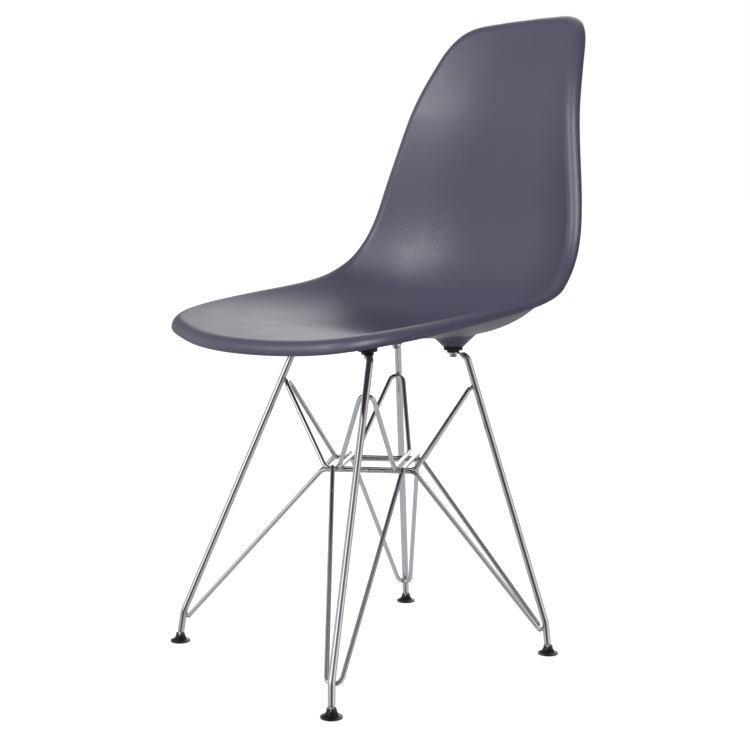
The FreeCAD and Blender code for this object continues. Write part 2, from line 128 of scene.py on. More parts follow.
def spline_through(knots, values, level_ends=False):
    """A cubic spline: on each span a cubic whose bend at both ends comes from one linear system,
    with free ends, or with level ends."""
    knots, values = np.asarray(knots, float), np.asarray(values, float)
    steps = np.diff(knots)
    slopes = np.diff(values) / steps
    count = len(knots)
    system = np.eye(count)
    target = np.zeros(count)
    for i in range(1, count - 1):
        system[i, i - 1:i + 2] = steps[i - 1], 2 * (steps[i - 1] + steps[i]), steps[i]
        target[i] = 6 * (slopes[i] - slopes[i - 1])
    if level_ends:
        system[0, :2] = 2 * steps[0], steps[0]
        system[-1, -2:] = steps[-1], 2 * steps[-1]
        target[0], target[-1] = 6 * slopes[0], -6 * slopes[-1]
    bends = np.linalg.solve(system, target)

    def value(at):
        i = np.clip(np.searchsorted(knots, at) - 1, 0, count - 2)
        ahead = (knots[i + 1] - at) / steps[i]
        behind = (at - knots[i]) / steps[i]
        curve = (ahead ** 3 - ahead) * bends[i] + (behind ** 3 - behind) * bends[i + 1]
        return ahead * values[i] + behind * values[i + 1] + curve * steps[i] ** 2 / 6

    return value


# %% The sitting surface
middle_line = np.array([
    (-229.5, 422.5), (-134.5, 426.0), (-39.5, 421.0), (54.5, 413.5), (145.0, 429.0),
    (202.5, 503.5), (215.5, 597.5), (222.0, 692.0), (245.1, 782.0), (276.1, 871.5)])
station_pitch = 95.0
stations = np.arange(len(middle_line))
middle_depth = spline_through(stations, middle_line[:, 0])
middle_height = spline_through(stations, middle_line[:, 1])
wing_rise = spline_through(stations, [15, 20.5, 37.5, 62, 79.5, 85, 82.5, 76.4, 65.9, 50.7])
wing_reach = 232.0
seat_dish_power, dish_power_drop = 2.9, 0.8
dish_change_start, dish_change_length = 3.5, 3.5
station_probe, across_probe, turn_probe = 0.002, 0.5, 0.003


def sitting_surface(across, station):
    """The middle line's point, moved along the line's normal by the wing's rise times the
    distance across, as a share of the wing's reach, to a power that falls from seat to back."""
    run = middle_depth(station + station_probe) - middle_depth(station - station_probe)
    climb = middle_height(station + station_probe) - middle_height(station - station_probe)
    length = np.hypot(run, climb)
    change = np.clip((station - dish_change_start) / dish_change_length, 0, 1)
    power = seat_dish_power - dish_power_drop * change
    rise = wing_rise(station) * (np.abs(across) / wing_reach) ** power
    depth = middle_depth(station) - climb / length * rise
    height = middle_height(station) + run / length * rise
    return np.stack([across, depth, height], axis=-1) + FEET_MIDDLE


def unit(vectors):
    """Each vector divided by its length."""
    return vectors / np.linalg.norm(vectors, axis=-1, keepdims=True)


def sitting_normal(across, station):
    """The cross product of the surface's two directions, each from a small step either way."""
    sideways = (sitting_surface(across + across_probe, station)
                - sitting_surface(across - across_probe, station))
    onward = (sitting_surface(across, station + station_probe)
              - sitting_surface(across, station - station_probe))
    return unit(np.cross(sideways, onward))


print("middle line from height", middle_line[0, 1], "to", middle_line[-1, 1], "mm")

# %% [markdown]
# ## The shell's outline and its rolled rim
# The outline is how far the sheet reaches in each direction from the middle of the bend, which
# one more spline holds. A square grid is first pressed into a round disc, and then each point is
# pushed out to the outline in its own direction, so there is no pinched point in the middle as a
# fan would have. At the edge the plastic rolls over and down in an arc, ends in a round lip, and
# comes back underneath one wall lower. That roll is what makes the thin shell look thick.

# %% The outline
outline_middle = 4.4
outline_angles = [-90, -78, -70, -64, -58, -50, -38, -22, -5, 12, 28,
                  42, 52, 60, 64, 67, 70.5, 74, 77.5, 81, 85.5, 90]
outline_shares = np.array([
    1.7069, 1.6983, 1.7069, 1.7155, 1.6509, 1.4612, 1.1897, 1.0, 0.9009, 0.875, 0.9181,
    1.0129, 1.1241, 1.2664, 1.3586, 1.4371, 1.5379, 1.6034, 1.619, 1.6129, 1.6069, 1.6034])
outline_reach = spline_through(
    np.radians(outline_angles), outline_shares * wing_reach, level_ends=True)


def sheet_place(share, angle):
    """Across and station of the point that lies a share of the way to the outline."""
    reach = share * outline_reach(np.arcsin(np.sin(angle)))
    return reach * np.cos(angle), outline_middle + reach * np.sin(angle) / station_pitch


sheet_count = 193
square_line = np.linspace(-1, 1, sheet_count)
square_across, square_up = np.meshgrid(square_line, square_line)
disc_across = square_across * np.sqrt(1 - square_up ** 2 / 2)
disc_up = square_up * np.sqrt(1 - square_across ** 2 / 2)
sheet = sheet_place(np.hypot(disc_across, disc_up), np.arctan2(disc_up, disc_across))
top_points = sitting_surface(*sheet)
top_normals = sitting_normal(*sheet)
print("sitting surface spans", np.ptp(top_points.reshape(-1, 3), axis=0).round(1), "mm")

# %% The rolled rim
wall = 5.0
roll_radius = 13.8
roll_angle = math.radians(93.5)
roll_rows, lip_rows = 11, 9

edge_index = np.concatenate([
    np.arange(sheet_count - 1),
    np.arange(sheet_count - 1) * sheet_count + sheet_count - 1,
    sheet_count ** 2 - 1 - np.arange(sheet_count - 1),
    (sheet_count - 1 - np.arange(sheet_count - 1)) * sheet_count])
edge_angles = np.arctan2(disc_up, disc_across).reshape(-1)[edge_index]
edge_points = top_points.reshape(-1, 3)[edge_index]
edge_normals = top_normals.reshape(-1, 3)[edge_index]
before = sitting_surface(*sheet_place(1.0, edge_angles - turn_probe))
after = sitting_surface(*sheet_place(1.0, edge_angles + turn_probe))
edge_outward = unit(np.cross(unit(after - before), edge_normals))


def roll(radius, turn):
    """The rim at one turn of its roll: a circle about a centre below the edge."""
    centre = edge_points - edge_normals * roll_radius
    return centre + edge_normals * radius * np.cos(turn) + edge_outward * radius * np.sin(turn)


def rim_lip(lean):
    """The round lip: half a circle of the wall's own thickness about the sheet's middle."""
    away = edge_normals * math.cos(roll_angle) + edge_outward * math.sin(roll_angle)
    down = edge_outward * math.cos(roll_angle) - edge_normals * math.sin(roll_angle)
    middle = roll(roll_radius - wall / 2, roll_angle)
    return middle + (away * math.cos(lean) + down * math.sin(lean)) * wall / 2


roll_turns = np.linspace(0, roll_angle, roll_rows)
rim_rows = [roll(roll_radius, turn) for turn in roll_turns]
rim_rows += [rim_lip(lean) for lean in np.linspace(0, math.pi, lip_rows)[1:-1]]
rim_rows += [roll(roll_radius - wall, turn) for turn in roll_turns[::-1]]
rim_grid = np.stack(rim_rows)
print("rim of", rim_grid.shape[1], "points round and", rim_grid.shape[0], "across")

# %% [markdown]
# ## Under the seat
# The underside is the sitting surface moved in by one wall. Under the seat it swells down into
# four bosses, the cone-shaped lumps that take the screws. As a height, a boss is flat in the
# middle and climbs at 45 degrees outside it. Taking a softened minimum of that height and the
# sheet's own gives the cone and the small fillet round its root in one formula.

# %% Legs' and bosses' places
leg_sizes = {
    "front": {"foot": (177.2, -179.6), "knee": (171.7, -175.4, 41.3),
              "shoulder": (81.8, -55.4, 393.7), "reach": (-16.2, 7.8)},
    "rear": {"foot": (151.0, 179.6), "knee": (148.4, 176.0, 40.6),
             "shoulder": (72.1, 103.3, 386.0), "reach": (-11.8, -12.1)},
}
leg_radius = 4.5
eye_thickness = 2.5
mount_thickness = 6.0
ball_height = 7.6


def leg_places(end, side):
    """Ball, knee, shoulder and eye of one leg, mirrored by side, from the sizes above."""
    size = leg_sizes[end]
    foot, knee, shoulder = (np.array(size[part]) for part in ("foot", "knee", "shoulder"))
    ball = np.append(foot + (knee[:2] - foot) * ball_height / knee[2], ball_height)
    eye_height = shoulder[2] + leg_radius - eye_thickness / 2
    eye = np.append(shoulder[:2] + np.array(size["reach"]), eye_height)
    mirror = np.array([side, 1, 1])
    places = {"ball": ball, "knee": knee, "shoulder": shoulder, "eye": eye}
    return {name: place * mirror + FEET_MIDDLE for name, place in places.items()}


legs = {(end, hand): leg_places(end, side) for end in leg_sizes for hand, side in SIDES.items()}
boss_feet = [place["eye"] + UP * (eye_thickness / 2 + mount_thickness) for place in legs.values()]
print("bosses end at heights", [round(float(foot[2]), 2) for foot in boss_feet], "mm")

# %% The underside with its bosses
boss_radius = 12.75
boss_field = 70.0
fillet = 1.6

under_points = top_points - top_normals * wall
for foot in boss_feet:
    from_foot = np.hypot(under_points[..., 0] - foot[0], under_points[..., 1] - foot[1])
    boss_height = foot[2] + np.maximum(from_foot - boss_radius, 0)
    sheet_height = under_points[..., 2]
    lower = np.minimum(boss_height, sheet_height)
    gap = np.abs(boss_height - sheet_height)
    softened = lower - fillet * np.log1p(np.exp(-gap / fillet))
    near = from_foot < boss_field
    under_points[..., 2] = np.where(near, np.maximum(softened, foot[2]), sheet_height)

shell_skins = [
    skin(top_points),
    skin(rim_grid[::-1], around=True),
    skin(under_points[:, ::-1]),
]
seat_shell = make_piece("seat_shell_moulded", shell_skins, "chair", ["seat_shell"],
                        weld=0.02)

# %% [markdown]
# ## Bent rods
# Legs and braces are round wire, bent in a machine: straight runs joined by true arcs. We lay a
# fine line of points along the runs and arcs first. Then a ring is carried along the line, and
# its width and height may change on the way, so one function makes a plain wire, a ball end and
# a flattened eye.

# %% A line with rounded bends
arc_points = 40
tangent_probe = 0.2


def bent_line(points, radii, closed=False):
    """Points along straight runs and arcs. An arc starts at the bend's corner less its radius
    over the tangent of half the bend's angle, and its centre is on the angle's bisector."""
    points = [np.asarray(point, float) for point in points]
    pieces = []
    for i, point in enumerate(points):
        if not closed and i in (0, len(points) - 1):
            pieces.append(point[None])
            continue
        back = unit(points[i - 1] - point)
        ahead = unit(points[(i + 1) % len(points)] - point)
        half = np.arccos(np.clip(back @ ahead, -1, 1)) / 2
        start = point + back * radii[i] / np.tan(half)
        centre = point + unit(back + ahead) * radii[i] / np.sin(half)
        first = start - centre
        turns = np.linspace(0, np.pi - 2 * half, arc_points)[:, None]
        pieces.append(centre + first * np.cos(turns) - back * radii[i] * np.sin(turns))
    line = np.concatenate(pieces)
    return np.concatenate([line, line[:1]]) if closed else line


def along_line(line, places):
    """Points at given distances along a line, by its running length, and unit tangents there."""
    steps = np.linalg.norm(np.diff(line, axis=0), axis=1)
    length = np.concatenate([[0], np.cumsum(steps)])

    def pick(at):
        return np.stack([np.interp(at, length, line[:, k]) for k in range(3)], axis=-1)

    tangents = unit(pick(places + tangent_probe) - pick(places - tangent_probe))
    return pick(places), tangents, length[-1]


def carried_ring(points, tangents, across, half_widths, half_heights, squareness, count):
    """A ring at each point: half width times cosine one way, and half height times sine the
    other, each to a power below one where the section is squarer than an ellipse."""
    sideways = unit(across - tangents * (tangents @ across)[:, None])
    upward = np.cross(sideways, tangents)
    turn = np.linspace(0, 2 * np.pi, count, endpoint=False)
    power = 2 / squareness[:, None]
    wide = half_widths[:, None] * np.sign(np.cos(turn)) * np.abs(np.cos(turn)) ** power
    high = half_heights[:, None] * np.sign(np.sin(turn)) * np.abs(np.sin(turn)) ** power
    return points[:, None] + sideways[:, None] * wide[..., None] + upward[:, None] * high[..., None]


# %% [markdown]
# ## The four legs
# Each leg starts in a small ball that the foot clips onto, has a narrow neck above it, bends at
# a low knee, and runs straight up to the shoulder. There it turns level and is pressed flat into
# an eye for its bolt. The press keeps the top flush, so the middle of the wire rises as the
# section gets thinner. Rings stand close together where the shape changes, at the ball, the neck
# and the eye, and two millimetres apart on the plain wire.

# %% Where a leg's rings stand
neck_end = 5.6
eye_radius = 8.0
tongue_length = 14.0
ball_turns = np.linspace(0.02, 2.15, 22)
tip_turns = np.linspace(0, np.pi / 2, 16)
neck_before, neck_after, neck_rings = 1.4, 0.8, 9
rod_step, tongue_step = 2.0, 0.5
rod_before, tongue_stop = 0.4, 1.0


def leg_ring_places(eye_at):
    """Distances along a leg's line from the bottom of its ball. The ball's and the tip's rings
    stand by equal angles of a circle, and those of the neck, rod and tongue by equal steps."""
    neck_at = neck_end + leg_radius
    tongue_at = eye_at - tongue_length
    return np.unique(np.concatenate([
        leg_radius - leg_radius * np.cos(ball_turns),
        np.linspace(neck_at - neck_before, neck_at + neck_after, neck_rings),
        np.arange(neck_at - rod_before, tongue_at, rod_step),
        np.arange(tongue_at, eye_at - tongue_stop, tongue_step),
        eye_at + eye_radius * np.sin(tip_turns)]))


def smooth_step(value):
    """A smooth rise from 0 to 1: three times the square less twice the cube."""
    value = np.clip(value, 0, 1)
    return value * value * (3 - 2 * value)


# %% The legs
neck_radius = 2.6
ball_end = 3.67
neck_blend_start, neck_blend_length = 0.6, 1.2
knee_radius, shoulder_radius = 30.0, 8.0
tongue_half_width = 6.0
flat_start, flat_length = 13.5, 6.5
round_eye_flatness = 0.9
flat_section_power = 4
leg_ring_points = 36


def make_leg(end, hand):
    """One leg as a single skin. In the ball and at the tip of the eye the half width is that of
    a circle: the root of its radius squared less the distance from its centre squared. One smooth
    step widens the neck into the rod, and one flattens the rod into the tongue and its eye."""
    place = legs[end, hand]
    upright = unit(place["knee"] - place["ball"])
    inward = unit((place["eye"] - place["shoulder"]) * LEVEL)
    level_eye = place["eye"] * LEVEL + UP * place["shoulder"][2]
    line = bent_line(
        [place["ball"] - upright * leg_radius, place["knee"], place["shoulder"],
         level_eye + inward * eye_radius],
        [0, knee_radius, shoulder_radius, 0])
    whole = along_line(line, np.zeros(1))[2]
    eye_at = whole - eye_radius
    at = leg_ring_places(eye_at)
    print(f"{end} {hand} leg: {whole:.1f} mm of wire, {len(at)} rings")
    points, tangents, _ = along_line(line, at)
    ball = np.sqrt(np.maximum(leg_radius ** 2 - (at - leg_radius) ** 2, 0.0))
    past_neck = at - leg_radius - neck_end + neck_blend_start
    from_neck = smooth_step(past_neck / neck_blend_length)
    round_radius = neck_radius + (leg_radius - neck_radius) * from_neck
    radius = np.where(at < leg_radius + ball_end, ball, round_radius)
    flat = smooth_step((at - (eye_at - flat_start)) / flat_length)
    half_height = radius + (eye_thickness / 2 - radius) * flat
    tongue_width = radius + (tongue_half_width - radius) * flat
    disc = np.sqrt(np.maximum(eye_radius ** 2 - (at - eye_at) ** 2, 0.0))
    widest = np.maximum(tongue_width, np.where(flat > round_eye_flatness, disc, 0))
    half_width = np.where(at > eye_at, disc, widest)
    points = points + UP * ((radius - half_height) * flat)[:, None]
    across = unit(np.cross(UP, inward))
    squareness = 2 + flat_section_power * flat
    grid = carried_ring(
        points, tangents, across, half_width, half_height, squareness, leg_ring_points)
    return skin(grid, around=True, start_cap=True, end_cap=True)


leg_pieces = {}
for end, hand in legs:
    name = f"leg_{end}_{hand}"
    leg_pieces[end, hand] = make_piece(
        f"{name}_rod", [make_leg(end, hand)], "chair", [name], weld=0.001)

# %% [markdown]
# ## The crossing loops
# Each loop is one closed ring of thinner wire. It hugs a front leg, runs down or up to the
# middle, goes level round one side of an open square, and on to the rear leg opposite, then
# comes back round the square's other side. The ring is closed with a butt weld that leaves a
# slight swelling, and small beads hold the loop where it touches the legs.

# %% Where a loop turns round a leg
brace_radius = 3.0
turn_radius, bend_radius = 9.5, 12.0
settling_rounds = 40


def loop_turn(first, second, place, height):
    """The corner of a loop's turn, and the point where it touches the leg's inner side. The
    corner lies beyond the turn by its radius over the sine of half its angle, less the radius;
    the angle itself depends on the corner, so the sum is repeated until it settles."""
    low, high = place["knee"], place["shoulder"]
    if height < low[2]:
        low, high = place["ball"], place["knee"]
    axis = unit(high - low)
    on_axis = low + axis * (height - low[2]) / axis[2]
    middle = (first + second) / 2
    inward = middle - on_axis
    inward = unit(inward - axis * (inward @ axis))
    crest = on_axis + inward * (leg_radius + brace_radius)
    outward = unit(crest - middle)
    beyond = turn_radius
    for _ in range(settling_rounds):
        corner = crest + outward * beyond
        half = np.arccos(unit(first - corner) @ unit(second - corner)) / 2
        beyond = turn_radius / np.sin(half) - turn_radius
    return crest + outward * beyond, crest - inward * brace_radius, axis


# %% A weld bead
bead_length, bead_width, bead_rise = 3.4, 2.9, 2.3
bead_rings, bead_ring_points = 18, 20
ripple_height, ripple_count = 0.05, 9
pole_gap = 0.01


def bead(centre, along, outward):
    """A weld bead is an oval lump: its length times the cosine of the lean, and its width and
    its rise times the sine. A small cosine wave over the lean ripples it."""
    lean, turn = np.meshgrid(np.linspace(pole_gap, np.pi - pole_gap, bead_rings),
                             np.linspace(0, 2 * np.pi, bead_ring_points, endpoint=False),
                             indexing="ij")
    ripple = 1 + ripple_height * np.cos(lean * ripple_count)
    side = np.cross(along, outward)
    grid = (centre + along * (bead_length * np.cos(lean))[..., None]
            + side * (bead_width * np.sin(lean) * np.cos(turn) * ripple)[..., None]
            + outward * (bead_rise * np.sin(lean) * np.sin(turn) * ripple)[..., None])
    return skin(grid, around=True, start_cap=True, end_cap=True)


# %% The four loops
loop_sizes = {
    "upper": {"front": (15.0, -54.5), "right": (-62.5, 29.0), "rear": (-15.0, 79.5),
              "left": (63.0, -4.5), "heights": (352.0, 346.0)},
    "lower": {"front": (11.0, -62.0), "right": (-70.5, 21.5), "rear": (-3.0, 84.5),
              "left": (74.5, 0.0), "heights": (36.5, 33.0)},
}
square_height = 244.3
loop_step, loop_ring_points = 1.6, 24
butt_swelling, butt_length = 0.30, 0.9


def make_loop(level, hand):
    """A loop's skin and its two weld beads. The butt weld is in the middle of the square's side
    between the front and the right corner, as a bell curve added to the wire's radius."""
    size, side = loop_sizes[level], SIDES[hand]
    other = "right" if hand == "left" else "left"
    height = square_height + (2 * brace_radius if hand == "left" else 0)
    corner = {name: np.array([side * size[name][0], size[name][1], height]) + FEET_MIDDLE
              for name in ("front", "right", "rear", "left")}
    front, front_touch, front_axis = loop_turn(
        corner["front"], corner["left"], legs["front", hand], size["heights"][0])
    rear, rear_touch, rear_axis = loop_turn(
        corner["rear"], corner["right"], legs["rear", other], size["heights"][1])
    corners = [front, corner["front"], corner["right"], rear, corner["rear"], corner["left"]]
    line = bent_line(corners, [turn_radius, bend_radius, bend_radius] * 2, closed=True)
    whole = along_line(line, np.zeros(1))[2]
    half_square = np.linalg.norm(line - (corner["front"] + corner["right"]) / 2, axis=1).argmin()
    length = np.concatenate([[0], np.cumsum(np.linalg.norm(np.diff(line, axis=0), axis=1))])
    places = np.linspace(0, whole, int(whole / loop_step), endpoint=False)
    points, tangents, _ = along_line(line, places)
    butt_at = (length[half_square - 1] + length[min(half_square + 1, len(length) - 1)]) / 2
    swelling = butt_swelling * np.exp(-((places - butt_at) / butt_length) ** 2)
    radius = brace_radius + swelling
    round_section = np.full(len(places), 2.0)
    grid = carried_ring(points, tangents, UP, radius, radius, round_section, loop_ring_points)
    skins = [skin(grid, around=True, along=True)]
    for touch, axis, apex in ((front_touch, front_axis, front), (rear_touch, rear_axis, rear)):
        outward = unit(apex - touch - axis * ((apex - touch) @ axis))
        skins.append(bead(touch, axis, outward))
    return skins


loop_pieces = {}
for level in loop_sizes:
    for hand in SIDES:
        name = f"{level}_brace_{hand}"
        loop_pieces[level, hand] = make_piece(
            f"{name}_loop", make_loop(level, hand), "chair", [name], weld=0.001)

# %% [markdown]
# ## Rubber mounts
# A rubber disc sits between each leg's eye and the shell, so that the seat gives a little. It is
# turned in shape: a profile of radius and height, carried round an axis. The moulded edge is
# rounded, and a shallow groove runs round its side. The profile starts at the foot of the bore,
# goes out over the narrow spigot and the wide disc, and comes back over the top.

# %% Turned pieces


def turned(profile, centre, count=72):
    """A closed profile of (radius, height) pairs carried round the upright axis at a centre:
    the radius times the turn's cosine one way and its sine the other, and the height upwards."""
    profile = np.asarray(profile, float)
    turn = np.linspace(0, 2 * np.pi, count, endpoint=False)[:, None]
    grid = np.stack([
        centre[0] + profile[:, 0] * np.cos(turn), centre[1] + profile[:, 0] * np.sin(turn),
        centre[2] + profile[:, 1] + 0 * turn], axis=-1)
    return skin(grid, around=True, along=True)


def rounded_corner(centre, radius, start, stop, count=5):
    """Points on a quarter circle, given its centre and two angles in degrees: the centre plus the
    radius times the angle's cosine and sine."""
    turn = np.radians(np.linspace(start, stop, count))
    return np.stack([centre[0] + radius * np.cos(turn), centre[1] + radius * np.sin(turn)], axis=-1)


# %% The rubber mounts
bore_radius, spigot_radius, disc_radius = 2.75, 8.0, 12.25
spigot_edge, spigot_top = 0.4, 1.7
disc_edge, disc_bottom = 0.75, 2.0
groove_bottom, groove_top = 3.4, 4.6
groove_slope, groove_depth = 0.35, 0.3

groove_radius = disc_radius - groove_depth
disc_corner = disc_radius - disc_edge
mount_profile = np.concatenate([
    [(bore_radius, 0.0)],
    rounded_corner((spigot_radius - spigot_edge, spigot_edge), spigot_edge, -90, 0),
    [(spigot_radius, spigot_top)],
    rounded_corner((disc_corner, disc_bottom + disc_edge), disc_edge, -90, 0),
    [(disc_radius, groove_bottom), (groove_radius, groove_bottom + groove_slope),
     (groove_radius, groove_top - groove_slope), (disc_radius, groove_top)],
    rounded_corner((disc_corner, mount_thickness - disc_edge), disc_edge, 0, 90),
    [(bore_radius, mount_thickness)]])
mount_pieces = []
for (end, hand), place in legs.items():
    name = f"shock_mount_{end}_{hand}"
    mount_pieces.append(make_piece(
        f"{name}_disc", [turned(mount_profile, place["eye"] + UP * eye_thickness / 2)],
        "chair", [name], weld=0.001))

# %% [markdown]
# ## Finishes as nodes
# A finish is a small network of nodes: one shader whose colour, roughness and bump come from
# noise at the size that the real surface has. All patterns read the object's own coordinates in
# metres, so a noise scale of 1000 gives grains about a millimetre wide. The first helper makes a
# function that adds nodes to a network. The second starts a material with it.

# %% Helpers for node materials


def node_adder(tree):
    """A function that adds a node to a network, with its settings and its inputs, which are
    values or other nodes' outputs."""
    def add(kind, inputs=(), **settings):
        node = tree.nodes.new(kind)
        for key, value in settings.items():
            setattr(node, key, value)
        for socket, value in dict(inputs).items():
            if isinstance(value, bpy.types.NodeSocket):
                tree.links.new(value, node.inputs[socket])
            else:
                node.inputs[socket].default_value = value
        return node

    return add


def start_finish(name, **sockets):
    """A new material with one shader, whose named sockets get the given constants."""
    finish = bpy.data.materials.new(name)
    finish.use_nodes = True
    tree = finish.node_tree
    shader = tree.nodes["Principled BSDF"]
    for socket, value in sockets.items():
        shader.inputs[socket.replace("_", " ")].default_value = value
    place = tree.nodes.new("ShaderNodeTexCoord").outputs["Object"]
    print("finish", name, sockets)
    return finish, shader, tree, place, node_adder(tree)


def noise(add, place, scale, detail=2.0, roughness=0.5):
    """A noise texture's value at a scale in waves per metre."""
    return add("ShaderNodeTexNoise", {
        "Vector": place, "Scale": scale, "Detail": detail, "Roughness": roughness}).outputs["Fac"]


noise_low, noise_high = 0.3, 0.7


def spread(add, value, low, high):
    """The values between which most noise lies, mapped to a range."""
    return add("ShaderNodeMapRange", {
        "Value": value, "From Min": noise_low, "From Max": noise_high,
        "To Min": low, "To Max": high}).outputs[0]


def two_colours(add, value, first, second):
    """A mix of two colours by a value."""
    mix = add("ShaderNodeMix", data_type="RGBA")
    tree = mix.id_data
    tree.links.new(value, mix.inputs["Factor"])
    mix.inputs["A"].default_value = (*first, 1)
    mix.inputs["B"].default_value = (*second, 1)
    return mix.outputs["Result"]


def bumps(add, shader, layers):
    """Bump nodes in a chain, each with a height, a distance in metres and a strength."""
    normal = None
    for height, distance, strength in layers:
        inputs = {"Height": height, "Distance": distance, "Strength": strength}
        if normal is not None:
            inputs["Normal"] = normal
        normal = add("ShaderNodeBump", inputs).outputs["Normal"]
    normal.id_data.links.new(normal, shader.inputs["Normal"])


# %% [markdown]
# ## The shell's plastic
# The shell is satin polypropylene, coloured through, with a fine spark-eroded grain from the
# mould. The grain is what spreads the lights into wide soft patches. We use a fine bump for the
# grain, a slower one for the slight waviness that every large moulding has, and a touch of
# variation in roughness where it has been handled.

# %% Satin shell plastic
plastic_tones = (0.050, 0.049, 0.082), (0.055, 0.054, 0.090)
satin_roughness = 0.33, 0.38
clouds_per_metre, handling_per_metre = 9.0, 30.0
grain_per_metre, grain_depth, grain_strength = 620.0, 0.00050, 0.5
waves_per_metre, wave_depth, wave_strength = 14.0, 0.0004, 0.25

shell_finish, shader, tree, place, add = start_finish(
    "satin_shell_plastic", Metallic=0.0, IOR=1.5)
clouds = noise(add, place, clouds_per_metre, detail=3.0)
grain = noise(add, place, grain_per_metre, detail=3.0, roughness=0.7)
colour = two_colours(add, spread(add, clouds, 0, 1), *plastic_tones)
tree.links.new(colour, shader.inputs["Base Color"])
handling = noise(add, place, handling_per_metre, detail=4.0)
tree.links.new(spread(add, handling, *satin_roughness), shader.inputs["Roughness"])
waves = noise(add, place, waves_per_metre)
bumps(add, shader, [
    (grain, grain_depth, grain_strength), (waves, wave_depth, wave_strength)])
seat_shell.data.materials.append(shell_finish)

# %% [markdown]
# ## Bright chrome
# Chrome plating copies the polish of the wire below it. Drawn wire has faint streaks along its
# length and a slight waviness, so reflections run in long soft lines. Noise that is stretched
# upwards stands for the streaks, and a little blue in the metal's colour makes it chrome and
# not nickel.

# %% Chrome
chrome_tones = (0.65, 0.66, 0.67), (0.71, 0.72, 0.73)
chrome_roughness = 0.05, 0.08
stains_per_metre, streak_shrink = 45.0, 0.08
streaks_per_metre, streak_depth, streak_strength = 700.0, 0.000002, 0.3
dents_per_metre, dent_depth, dent_strength = 40.0, 0.00006, 0.2

chrome, shader, tree, place, add = start_finish("bright_chrome", Metallic=1.0)
stretched = add("ShaderNodeMapping", {
    "Vector": place, "Scale": (1.0, 1.0, streak_shrink)}).outputs[0]
streaks = noise(add, stretched, streaks_per_metre, detail=3.0)
stains = noise(add, place, stains_per_metre, detail=4.0)
colour = two_colours(add, spread(add, stains, 0, 1), *chrome_tones)
tree.links.new(colour, shader.inputs["Base Color"])
tree.links.new(spread(add, streaks, *chrome_roughness), shader.inputs["Roughness"])
dents = noise(add, place, dents_per_metre)
bumps(add, shader, [
    (streaks, streak_depth, streak_strength), (dents, dent_depth, dent_strength)])
for piece in [*leg_pieces.values(), *loop_pieces.values()]:
    piece.data.materials.append(chrome)

# %% [markdown]
# ## Rubber, zinc and brass
# The mounts are black rubber: dull, with a fine bloom of dust in its pores. Bolts and washers
# are zinc plated, which is a soft grey metal with patches of different crystal. The threaded
# inserts inside the bosses are brass, with fine rings left by the lathe.

# %% Rubber
rubber_tones = (0.012, 0.012, 0.013), (0.030, 0.030, 0.031)
rubber_roughness = 0.55, 0.75
bloom_per_metre = 260.0
pores_per_metre, pore_depth, pore_strength = 2600.0, 0.00006, 0.4

rubber, shader, tree, place, add = start_finish("black_rubber", Metallic=0.0)
bloom = noise(add, place, bloom_per_metre, detail=4.0, roughness=0.6)
colour = two_colours(add, spread(add, bloom, 0, 1), *rubber_tones)
tree.links.new(colour, shader.inputs["Base Color"])
tree.links.new(spread(add, bloom, *rubber_roughness), shader.inputs["Roughness"])
pores = noise(add, place, pores_per_metre)
bumps(add, shader, [(pores, pore_depth, pore_strength)])
for piece in mount_pieces:
    piece.data.materials.append(rubber)

# %% Zinc
zinc_tones = (0.46, 0.46, 0.47), (0.62, 0.62, 0.61)
zinc_roughness = 0.25, 0.42
crystals_per_metre, crystal_depth, crystal_strength = 900.0, 0.00003, 0.3
dulling_per_metre = 500.0

zinc, shader, tree, place, add = start_finish("zinc_plating", Metallic=1.0)
crystals = add("ShaderNodeTexVoronoi", {
    "Vector": place, "Scale": crystals_per_metre}).outputs["Distance"]
colour = two_colours(add, crystals, *zinc_tones)
tree.links.new(colour, shader.inputs["Base Color"])
dulling = noise(add, place, dulling_per_metre, detail=3.0)
tree.links.new(spread(add, dulling, *zinc_roughness), shader.inputs["Roughness"])
bumps(add, shader, [(crystals, crystal_depth, crystal_strength)])

# %% Brass
brass_tones = (0.56, 0.40, 0.17), (0.68, 0.50, 0.23)
brass_roughness = 0.24, 0.34
tool_marks_per_metre, tool_mark_wander = 900.0, 0.6
tool_mark_depth, tool_mark_strength = 0.00004, 0.3

brass, shader, tree, place, add = start_finish("turned_brass", Metallic=1.0)
tool_marks = add("ShaderNodeTexWave", {
    "Vector": place, "Scale": tool_marks_per_metre, "Distortion": tool_mark_wander},
    bands_direction="Z").outputs["Fac"]
colour = two_colours(add, tool_marks, *brass_tones)
tree.links.new(colour, shader.inputs["Base Color"])
tree.links.new(spread(add, tool_marks, *brass_roughness), shader.inputs["Roughness"])
bumps(add, shader, [(tool_marks, tool_mark_depth, tool_mark_strength)])

# %% [markdown]
# ## Black plastic feet
# The feet are injection moulded in a tough black plastic that comes out of a polished mould, so
# they shine more than the shell. Floors scuff them near the ground. A noise that fades with
# height makes the scuffs lighter and rougher at the bottom.

# %% Foot plastic
foot_tones = (0.011, 0.011, 0.012), (0.050, 0.048, 0.046)
foot_roughness = 0.26, 0.60
scuff_height = 0.004
scratches_per_metre = 420.0
texture_per_metre, texture_depth, texture_strength = 900.0, 0.00003, 0.3

